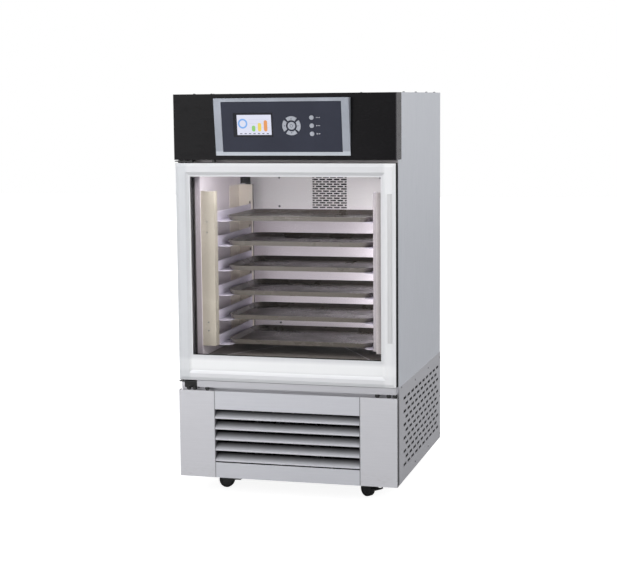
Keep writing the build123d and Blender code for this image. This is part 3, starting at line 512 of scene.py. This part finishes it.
def lining_finish():
    """Bright lining with painted shade: dimmer at its mouth, on its floor, at the side inlets and behind
    the duct cover, and dark on its front lip.
    """
    lining = brushed("lining_steel", srgb(226, 219, 225), 0.5, "z", metallic=0.2, spread=0.95)
    mouth = low("liner").y
    # Painted shade at the mouth of the lining and on its floor.
    lining.band("Y", mouth + 62 * MM, mouth + 56 * MM, srgb(132, 124, 134), 0.8)
    lining.band("Z", chamber_floor + 0.9 * MM, chamber_floor + 0.3 * MM, srgb(140, 133, 128))
    # Painted shade behind the duct cover.
    lining.band("Y", duct_y + 2 * MM, duct_y + 4 * MM, PAINTED_SHADE_DARK, 0.9)
    # Painted shade on the front lip; above the door head the lip is a lighter grey instead.
    lip = lining.along("Y", mouth + 13 * MM, mouth + 12 * MM)
    lining.tint(lip, PAINTED_SHADE_DARK)
    head = lining.along("Z", door_head + 0.5 * MM, door_head + 1 * MM)
    lining.tint(lining.times(lip, head), srgb(176, 171, 174))
    # Painted shade in the side inlets above the rack.
    inlet = lining.along("Y", duct_y - 51 * MM, duct_y - 49 * MM)
    inlet = lining.times(inlet, lining.along("Z", rack_top, rack_top + 2 * MM))
    lining.tint(inlet, srgb(52, 48, 52))
    dress(lining, "liner")


def rack_finishes():
    """Runners, and uprights whose cream is paler at the back as painted light, and greyer at the front
    right and dark at their back ends as painted shade.
    """
    runner = brushed("runner_steel", srgb(206, 200, 214), 0.46, "y", metallic=0.3, spread=0.92)
    dress(runner, "tray_runners")
    post = painted("upright_cream", srgb(174, 167, 154), 0.42)
    # Painted light: the rear uprights are paler.
    post.band("Y", 0.0, 20 * MM, srgb(226, 217, 206))
    # Painted shade: the front right upright is greyer.
    right, front = post.along("X", 0.0, 20 * MM), post.along("Y", 20 * MM, 0.0)
    post.tint(post.times(right, front), srgb(150, 144, 150))
    # Painted shade: the back ends of the rear uprights are dark.
    post.band("Y", duct_y - 62 * MM, duct_y - 60 * MM, srgb(60, 55, 55))
    dress(post, "rack_uprights")


def lamp_finishes():
    """Cream housing and a ribbed, glowing opal lens."""
    dress(painted("lamp_cream", srgb(170, 163, 164), 0.4), "lamp_housing")
    lens = painted("lamp_opal", srgb(226, 222, 212), 0.35).glow(srgb(255, 247, 232), 0.9)
    lens.relief(lens.waves(120.0, "Y"), 0.0002, 0.4)
    dress(lens, "lamp_lens")


def tray_finish():
    """Dark baked coating, a greyer front edge that is a painted highlight, worn patches and an oily film.
    """
    tray = painted("tray_coating", srgb(84, 78, 74), 0.32, specular=0.6)
    front = low("tray_1").y
    # Painted highlight: the front edge of each tray is lighter.
    tray.band("Y", front + 11 * MM, front + 8 * MM, srgb(97, 92, 87))
    worn = tray.noise(26.0, 7.0, roughness=0.75)
    tray.tint(tray.span(worn, 0.56, 0.7, 0.0, 0.5), srgb(108, 100, 94))
    tray.rough(tray.span(tray.noise(8.0, 4.0), 0.35, 0.65, 0.2, 0.42))
    dress(tray, *[name for name in named("tray_") if name != "tray_runners"])


def chamber_finishes():
    """Lining, duct cover, rack, runners, lamp and trays."""
    lining_finish()
    duct = brushed("duct_steel", srgb(222, 219, 221), 0.56, "x", metallic=0.25, spread=0.95)
    # Painted shade: dark behind the face of the duct cover, and darker towards its left edge.
    duct.band("Y", duct_y + 2 * MM, duct_y + 4 * MM, PAINTED_SHADE_DARK, 0.9)
    duct.band("X", -228 * MM, -262 * MM, srgb(124, 118, 124), 0.4)
    duct.band("Z", rack_top - 70 * MM, rack_top - 100 * MM, srgb(221, 213, 221))
    dress(duct, "air_duct_panel")
    rack_finishes()
    lamp_finishes()
    tray_finish()
    return {"duct": duct}


def control_finishes():
    """Gloss fascia, silver bezel, slate plate, buttons, screen and board."""
    fascia = painted("fascia_gloss", srgb(20, 19, 21), 0.28, specular=0.08, peel=0.000001)
    smears = fascia.noise(20.0, 6.0, (1, 1, 2.5), 0.7)
    fascia.rough(fascia.span(smears, 0.5, 0.72, 0.25, 0.36))
    # Painted highlight: the right end of the fascia is lighter.
    edge = high("fascia").x
    fascia.band("X", edge - 3 * MM, edge - 1 * MM, srgb(56, 54, 58))
    dress(fascia, "fascia")
    bezel = painted("bezel_silver", srgb(164, 169, 179), 0.34, coat=0.1)
    bezel.shader.inputs["Metallic"].default_value = 0.4
    # Painted highlight: the lower part of the bezel is lighter.
    foot = low("control_bezel").z
    bezel.band("Z", foot + 15 * MM, foot + 11 * MM, srgb(202, 208, 216))
    dress(bezel, "control_bezel")
    plate = painted("plate_slate", srgb(48, 51, 65), 0.4, specular=0.25)
    dress(plate, "control_plate")
    button = painted("button_grey", srgb(172, 176, 186), 0.38)
    dress(button, *[name for name in nodes if name.endswith("_button")])
    screen = painted("screen_black", srgb(22, 24, 34), 0.12, specular=0.6)
    dress(screen, "display")
    board = painted("board_green", srgb(20, 84, 46), 0.35)
    dress(board, "control_board")


def door_finishes():
    """Glass panes, their spacer, the black inner frame and the seal."""
    glass = Finish("window_glass", srgb(26, 32, 31), 0.03, specular=0.35, alpha=0.05)
    film = glass.noise(6.0, 5.0, roughness=0.7)
    glass.rough(glass.span(film, 0.4, 0.75, 0.02, 0.12))
    glass.tint(glass.span(film, 0.55, 0.8, 0.0, 0.4), srgb(120, 126, 126))
    dress(glass, "door_glass")
    spacer = brushed("spacer_alloy", srgb(168, 168, 172), 0.35, "z")
    dress(spacer, "glass_spacer")
    black = painted("inner_frame_black", srgb(26, 26, 27), 0.42)
    edge = inner_edge("door_back_frame")
    # Painted highlight: a lilac-grey strip along the inner edges of the black frame.
    for side in (-1, 1):
        lip = black.along("X", side * (edge + 5 * MM), side * (edge + 4 * MM), 0.0, 0.5)
        lip = black.times(lip, black.along("X", side * (edge - 2 * MM), side * (edge - 1 * MM)))
        black.tint(lip, srgb(150, 142, 150))
    dress(black, "door_back_frame")
    rubber = painted("seal_rubber", srgb(52, 52, 54), 0.62, specular=0.3)
    dress(rubber, "door_gasket")
    hinge = painted("hinge_black", srgb(34, 34, 35), 0.4)
    dress(hinge, "hinge_brackets")
    return {"rubber": rubber, "hinge": hinge}


def machine_finishes():
    """Foam, coils, fans, motor, pan, compressor, pipes and castors."""
    foam = painted("foam_cream", srgb(224, 208, 160), 0.8)
    foam.relief(foam.cells(220.0), 0.0008, 0.6)
    dress(foam, "insulation")
    coil = brushed("coil_alloy", srgb(196, 198, 200), 0.32, "z")
    coil.tint(coil.span(coil.waves(80.0, "X"), 0.3, 0.6, 0.7, 0.0), srgb(70, 72, 76))
    coil.band("Z", seam_z, seam_z - 10 * MM, srgb(34, 34, 35))
    dress(coil, "evaporator", "condenser")
    fan = painted("fan_black", srgb(30, 30, 31), 0.45)
    dress(fan, "circulation_fan", "condenser_fan")
    motor = painted("motor_grey", srgb(96, 98, 102), 0.5)
    dress(motor, "circulation_motor")
    pan = brushed("pan_steel", srgb(198, 199, 202), 0.3, "x")
    dress(pan, "humidifier_pan")
    shell = painted("compressor_enamel", srgb(24, 24, 25), 0.3, coat=0.3)
    dress(shell, "compressor")
    copper = Finish("pipe_copper", srgb(198, 128, 92), 0.32, 0.95)
    copper.tint(copper.span(copper.noise(40.0, 6.0), 0.4, 0.65), srgb(140, 84, 58))
    dress(copper, "pipework")
    fork = painted("fork_black", srgb(26, 26, 27), 0.35, coat=0.2)
    dress(fork, *named("castor_fork"), *named("castor_pedal"))
    tread = painted("tread_black", srgb(24, 24, 25), 0.5, peel=0.0001)
    dress(tread, *named("castor_wheel"))
    zinc = brushed("screw_zinc", srgb(120, 122, 126), 0.34, "z", spread=0.8)
    return {"tread": tread, "zinc": zinc}


# Pieces made here


def seal_bellows(finishes):
    """Door seal: a soft tube between the door and the cabinet, round the whole opening.

    Its section is an oval, as deep as the gap, whose width dips by 18% three times in a turn."""
    a, b = low("door_gasket"), high("door_gasket")
    back = high("door_back_frame").y
    gap = b.y - back
    width = 16 * MM
    t = np.linspace(0, 2 * pi, 25)[:-1]
    swell = 1.0 - 0.18 * np.cos(3 * t)
    offset = width / 2 + width / 2 * np.cos(t) * np.clip(swell, 0, 1)
    depth = back + gap / 2 + gap / 2 * np.sin(t)
    profile = np.stack([offset, depth], 1)
    inner = b.x - width
    points, faces = frame_ring(profile, inner, a.z + width, b.z - width, 12 * MM)
    piece = make("door_seal", points, faces, finishes["rubber"], "door")
    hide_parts("door_gasket")


def screws_on_sides(finishes):
    """Rows of pan head screws along the lower sides, and two behind each end of the fascia."""
    lower = [(y, z) for y in (-69 * MM, 150 * MM, 362 * MM) for z in (341 * MM, 74 * MM)]
    lower += [(362 * MM, 206 * MM), (-281 * MM, 356 * MM)]
    upper = [(-286 * MM, z) for z in (1225 * MM, 1081 * MM)]
    parts = []
    for side in (-1, 1):
        parts += [screw((side * side_x, y, z), (side, 0, 0), SCREW_RADIUS) for y, z in lower]
        parts += [screw((side * high("fascia").x, y, z), (side, 0, 0), 2.6 * MM) for y, z in upper]
    points, faces = gather(parts)
    make("side_screws", points, faces, finishes["zinc"], "cabinet")


def dust_mesh():
    """Fine dark dust mesh behind the slotted lower sides, between the corner angles."""
    mesh = painted("mesh_black", srgb(30, 30, 31), 0.7, specular=0.2)
    mesh.relief(mesh.cells(600.0), 0.0003, 0.8)
    front, rear = low("vent_panels").y + 31 * MM, rear_y - 33 * MM
    outline = rounded(rear - front, seam_z - base_foot - 8 * MM, 4 * MM, 3)
    parts = []
    for side in (-1, 1):
        middle = (side * (side_x - 2 * MM), (front + rear) / 2, (base_foot + seam_z) / 2)
        parts.append(prism(outline, middle, (0, side, 0), (0, 0, 1), (side, 0, 0), -0.8 * MM, 0.0))
    points, faces = gather(parts)
    make("dust_mesh", points, faces, mesh, "cabinet", smooth=False)


def screws_behind(finishes):
    """Screws round the back sheet: a column at each side, and one in the middle of its foot and head."""
    heights = np.linspace(base_foot + 20 * MM, body_top - 40 * MM, 6)
    parts = []
    for x in (-330 * MM, 0.0, 330 * MM):
        for z in heights if x else heights[[0, -1]]:
            parts.append(screw((x, rear_y, z), (0, 1, 0), SCREW_RADIUS))
    points, faces = gather(parts)
    make("rear_screws", points, faces, finishes["zinc"], "cabinet")


def screws_on_lid(finishes):
    """Round heads along both sides of the lid, and two on the top of the fascia."""
    parts = []
    for side in (-1, 1):
        for y in (-186 * MM, 4 * MM, 179 * MM, 320 * MM):
            parts.append(screw((side * 338 * MM, y, body_top), (0, 0, 1), 4.2 * MM, 0.7))
        parts.append(screw((side * 236 * MM, -316 * MM, body_top), (0, 0, 1), SCREW_RADIUS))
    points, faces = gather(parts)
    make("lid_screws", points, faces, finishes["zinc"], "cabinet")


def bolts_in_gaps(finishes):
    """Hexagon bolts in the gap between the base and the sill strip, and in the one above the door."""
    y = low("sill_strip").y + 8 * MM
    sill_gap = (base_top + low("sill_strip").z) / 2
    parts = []
    for x in (-320 * MM, -300 * MM, -259 * MM, 286 * MM, 322 * MM, 342 * MM):
        parts.append(hexagon_bolt((x, y, sill_gap), (0, -1, 0), 9 * MM, 8 * MM))
    for x in (-318 * MM, -296 * MM, -224 * MM):
        parts.append(hexagon_bolt((x, y, door_head + 5 * MM), (0, -1, 0), 8 * MM, 8 * MM))
    points, faces = gather(parts)
    make("sill_bolts", points, faces, finishes["hinge"], "cabinet", smooth=False)


def chamber_screws(finishes):
    """Screws that hold the duct cover."""
    parts = []
    for x in (-177 * MM, 177 * MM):
        for z in (872 * MM, 970 * MM, 470 * MM):
            parts.append(screw((x, duct_y, z), (0, -1, 0), 4.0 * MM))
    points, faces = gather(parts)
    make("duct_screws", points, faces, finishes["zinc"], "cabinet")


def post_screws(finishes):
    """Pairs of small screws in the front uprights."""
    front = low("rack_uprights").y
    parts = [
        screw((side * 280 * MM, front, z * MM), (0, -1, 0), 2.4 * MM)
        for side in (-1, 1)
        for z in (507, 534, 820, 854)
    ]
    points, faces = gather(parts)
    make("post_screws", points, faces, finishes["zinc"], "cabinet")


def floor_creases(finishes):
    """Two low creases in the chamber floor, from its front corners to the middle of the back.

    Each is a tent 3 mm wide and 0.5 mm high, swept along a straight line."""
    tent = [(-1.5 * MM, 0.0), (1.5 * MM, 0.0), (0.0, 0.5 * MM)]
    end = np.array([-10 * MM, duct_y - 14 * MM])
    parts = []
    for x in (-288 * MM, 288 * MM):
        start = np.array([x, low("liner").y + 24 * MM])
        length = float(np.linalg.norm(end - start))
        along = (end - start) / length
        origin, across = (*start, chamber_floor), (-along[1], along[0], 0)
        parts.append(prism(tent, origin, across, (0, 0, 1), (*along, 0), 0.0, length))
    points, faces = gather(parts)
    make("floor_creases", points, faces, finishes["duct"], "cabinet", smooth=False)


def screen_picture():
    """A generic picture: pale ground with three lines, a blue ring, three pills and a row of dots.

    Each tile is a rounded rectangle, laid on the screen in layers of 0.05 to 0.09 mm."""
    middle, width, height = face_of("display")
    u, v, n = np.array(panel_across), np.array(panel_up), np.array(panel_out)
    middle = middle + 3.5 * MM * u
    width, height = width - 17 * MM, height - 12 * MM

    def lit(name, colour, strength=0.86):
        """A glowing colour over a dark glass of the same tint."""
        made = Finish(name, shade(colour, 0.1), 0.2)
        glow = made.noise(30.0, 2.0)
        made.tint(made.span(glow, 0.3, 0.7, 0.0, 0.2), shade(colour, 0.3))
        return made.glow(colour, strength)

    def tile(name, x, y, w, h, finish, top, radius=0.8 * MM):
        """A rounded rectangle about a place on the screen, from its face up to top."""
        outline = rounded(w, h, min(radius, w / 2.01, h / 2.01), 4) + np.array([x, y])
        points, faces = prism(outline, middle, u, v, n, 0.0, top)
        make(name, points, faces, finish, "cabinet", smooth=False)

    tile("screen_ground", 0, 0, width, height, lit("screen_ground", srgb(224, 226, 243)), 0.05 * MM)
    grey = lit("screen_lines", srgb(186, 190, 214))
    for i in range(3):
        tile(f"screen_line_{i + 1}", 16 * MM, (i - 0.6) * 12 * MM, 62 * MM, 0.5 * MM, grey, 0.07 * MM)
    centre = middle - 36 * MM * u + 4 * MM * v
    ring = [(10 * MM, 0.0), (15 * MM, 0.0), (15 * MM, 0.09 * MM), (10 * MM, 0.09 * MM)]
    points, faces = turned(ring, centre, n, 40, closed=True)
    blue = lit("screen_ring", srgb(128, 176, 238))
    make("screen_ring", points, faces, blue, "cabinet", smooth=False)
    pills = [((146, 206, 116), 18), ((240, 214, 104), 26), ((232, 156, 96), 34)]
    for i, (colour, tall) in enumerate(pills):
        name, x, y = f"screen_pill_{i + 1}", (-2 + 19 * i) * MM, (tall / 2 - 20) * MM
        tile(name, x, y, 11 * MM, tall * MM, lit(name, srgb(*colour)), 0.09 * MM, 5 * MM)
    dark = lit("screen_dots", srgb(60, 66, 92), 0.6)
    for i in range(7):
        x, y = (-42 + 14 * i) * MM, -height / 2 + 4 * MM
        tile(f"screen_dot_{i + 1}", x, y, 7 * MM, 2.4 * MM, dark, 0.09 * MM)


def button_symbols():
    """Printed arrowheads on the ring buttons, a ring on the middle one, and plain signs by the others.

    The arrowhead is one triangle, turned by a quarter circle from each button to the next."""
    u, v, n = np.array(panel_across), np.array(panel_up), np.array(panel_out)
    ink = painted("symbol_ink", srgb(92, 96, 110), 0.5)
    for turn, name in enumerate(("right_button", "up_button", "left_button", "down_button")):
        middle, _, _ = face_of(name)
        a = turn * pi / 2
        arrow = np.array([(2.4, 0.0), (-1.6, 2.6), (-1.6, -2.6)]) * MM
        spin = np.array([[cos(a), sin(a)], [-sin(a), cos(a)]])
        points, faces = prism(arrow @ spin, middle, u, v, n, -0.02 * MM, 0.06 * MM)
        make(f"{name}_arrow", points, faces, ink, name, smooth=False)
    middle, _, _ = face_of("enter_button")
    inner, outer, sunk, proud = 3.6 * MM, 5.0 * MM, -0.02 * MM, 0.06 * MM
    ring = [(inner, proud), (outer, proud), (outer, sunk), (inner, sunk)]
    points, faces = turned(ring, middle, n, 32, closed=True)
    make("enter_button_ring", points, faces, ink, "enter_button", smooth=False)
    pale = painted("pictogram_ink", srgb(196, 198, 208), 0.5)
    plate, _, _ = face_of("control_plate")
    signs = {
        "mode_button": [(-4.6, 0.0, 2.6, 2.6), (0.0, 0.0, 2.6, 2.6), (4.6, 0.0, 2.6, 2.6)],
        "light_button": [(-4.2, 0.0, 3.4, 3.4), (2.4, 0.0, 7.0, 1.5)],
        "start_button": [(-4.8, 0.0, 1.6, 4.6), (-1.8, 0.0, 1.6, 4.6), (3.6, 0.0, 3.4, 3.4)],
    }
    for name, bars in signs.items():
        middle, width, _ = face_of(name)
        place = middle + n * ((plate - middle) @ n) + u * (width / 2 + 13 * MM)
        parts = []
        for x, y, w, h in bars:
            outline = rounded(w * MM, h * MM, min(w, h) * 0.42 * MM, 3) + np.array([x, y]) * MM
            parts.append(prism(outline, place, u, v, n, -0.02 * MM, 0.06 * MM))
        points, faces = gather(parts)
        make(name.replace("button", "sign"), points, faces, pale, "cabinet", smooth=False)


def tyres(finishes):
    """Castor wheels: rounded tread, a stepped face and a domed axle cap at each side.

    The tread is two quarter circles and the straight line between them. The face is a list of radius
    and height in mm from the rim to the axle. Tread and both faces are turned about the axle."""
    for name in named("castor_wheel"):
        joint = joints[name.replace("wheel", "roll")]
        centre, axis = np.array(joint["pos_m"]), np.array(joint["axis"])
        radius, half, edge = 24 * MM, 11 * MM, 5 * MM
        t = np.linspace(-pi / 2, pi / 2, 9)
        side = (half - edge) * np.sign(t) + edge * np.sin(t)
        tread = np.stack([radius - edge + edge * np.cos(t), side], 1)
        face = [(15.0, 11.0), (14.0, 9.4), (9.0, 9.4), (8.0, 10.8), (5.0, 11.6), (0.0, 11.8)]
        face = np.array(face) * MM
        profile = np.concatenate([(face * [1, -1])[::-1], tread, face])
        points, faces = turned(profile, centre, axis, 48)
        piece = make(name.replace("wheel", "tyre"), points, faces, finishes["tread"], name)
        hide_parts(name)


# Stage


def stage_floor():
    """A pale floor that fades to white for the camera and keeps the object's shadow."""
    size = 14.0
    mesh = bpy.data.meshes.new("floor")
    corners = [(-size, -size, 0), (size, -size, 0), (size, size, 0), (-size, size, 0)]
    mesh.from_pydata(corners, [], [(0, 1, 2, 3)])
    floor = bpy.data.objects.new("floor", mesh)
    bpy.context.scene.collection.objects.link(floor)
    paint = Finish("floor_paint", srgb(160, 160, 161), 0.7, specular=0.1)
    path = paint.node("ShaderNodeLightPath")
    seen = paint.times(path.outputs["Is Camera Ray"], 0.9)
    paint.shader.inputs["Emission Color"].default_value = (1, 1, 1, 1)
    paint.links.new(seen, paint.shader.inputs["Emission Strength"])
    mesh.materials.append(paint.material)


def studio_world():
    """White to the camera; for reflections and light a soft dome, brighter in front and above."""
    world = bpy.data.worlds.new("studio")
    bpy.context.scene.world = world
    world.use_nodes = True
    tree = world.node_tree
    tree.nodes.clear()

    def ramp(value, ends):
        """A direction's part carried from one range to another, held at its ends."""
        made = tree.nodes.new("ShaderNodeMapRange")
        for name, number in zip(("From Min", "From Max", "To Min", "To Max"), ends):
            made.inputs[name].default_value = number
        tree.links.new(value, made.inputs["Value"])
        return made.outputs["Result"]

    def background():
        """Plain white light of strength 1."""
        made = tree.nodes.new("ShaderNodeBackground")
        made.inputs["Color"].default_value = (1.0, 1.0, 1.0, 1.0)
        made.inputs["Strength"].default_value = 1.0
        return made

    coordinates = tree.nodes.new("ShaderNodeTexCoord")
    split = tree.nodes.new("ShaderNodeSeparateXYZ")
    tree.links.new(coordinates.outputs["Generated"], split.inputs["Vector"])
    strength = tree.nodes.new("ShaderNodeMath")
    strength.operation = "MULTIPLY"
    tree.links.new(ramp(split.outputs["Z"], (-0.2, 0.9, 0.85, 1.0)), strength.inputs[0])
    tree.links.new(ramp(split.outputs["Y"], (-1.0, 1.0, 1.05, 0.8)), strength.inputs[1])
    dome, white = background(), background()
    tree.links.new(strength.outputs["Value"], dome.inputs["Strength"])
    path = tree.nodes.new("ShaderNodeLightPath")
    mix = tree.nodes.new("ShaderNodeMixShader")
    tree.links.new(path.outputs["Is Camera Ray"], mix.inputs["Fac"])
    tree.links.new(dome.outputs["Background"], mix.inputs[1])
    tree.links.new(white.outputs["Background"], mix.inputs[2])
    output = tree.nodes.new("ShaderNodeOutputWorld")
    tree.links.new(mix.outputs["Shader"], output.inputs["Surface"])


def softbox(name, place, aim, size, power):
    """A square lamp that points at a place."""
    data = bpy.data.lights.new(name, "AREA")
    data.shape = "RECTANGLE"
    data.size, data.size_y = size
    data.energy = power
    lamp = bpy.data.objects.new(name, data)
    lamp.location = place
    lamp.rotation_euler = (Vector(aim) - Vector(place)).to_track_quat("-Z", "Y").to_euler()
    bpy.context.scene.collection.objects.link(lamp)
    lamp.visible_camera = False


def lights():
    """Large soft lamps in front, above and at the right, and soft light inside the chamber."""
    middle = (0, 0, 0.7)
    softbox("front_lamp", (-2.2, -4.1, 1.7), middle, (2.6, 2.6), 60)
    softbox("top_lamp", (0.4, -0.6, 3.6), middle, (2.6, 2.6), 6)
    softbox("side_lamp", (3.4, -0.6, 1.8), (0.35, 0.0, 0.8), (1.8, 1.8), 32)
    softbox("ceiling_strip", (0.0, -0.27, 1.0), (0.0, 0.0, 0.6), (0.5, 0.05), 1.25)
    softbox("door_light", (0, -0.312, 0.72), (0, 0, 0.72), (0.56, 0.54), 1.5)
    softbox("rear_strip", (0.245, 0.15, 0.66), (0, 0.158, 0.66), (0.03, 0.42), 0.8)
    softbox("rear_fill", (0.0, 0.14, 0.65), (0, 0.208, 0.65), (0.46, 0.38), 0.3)


place_camera()
steel_finishes()
chamber = chamber_finishes()
control_finishes()
door = door_finishes()
machine = machine_finishes()
seal_bellows(door)
screws_on_sides(machine)
dust_mesh()
screws_behind(machine)
screws_on_lid(machine)
bolts_in_gaps(door)
chamber_screws(machine)
post_screws(machine)
floor_creases(chamber)
screen_picture()
button_symbols()
tyres(machine)
stage_floor()
studio_world()
lights()
bpy.context.scene.view_settings.view_transform = "Standard"
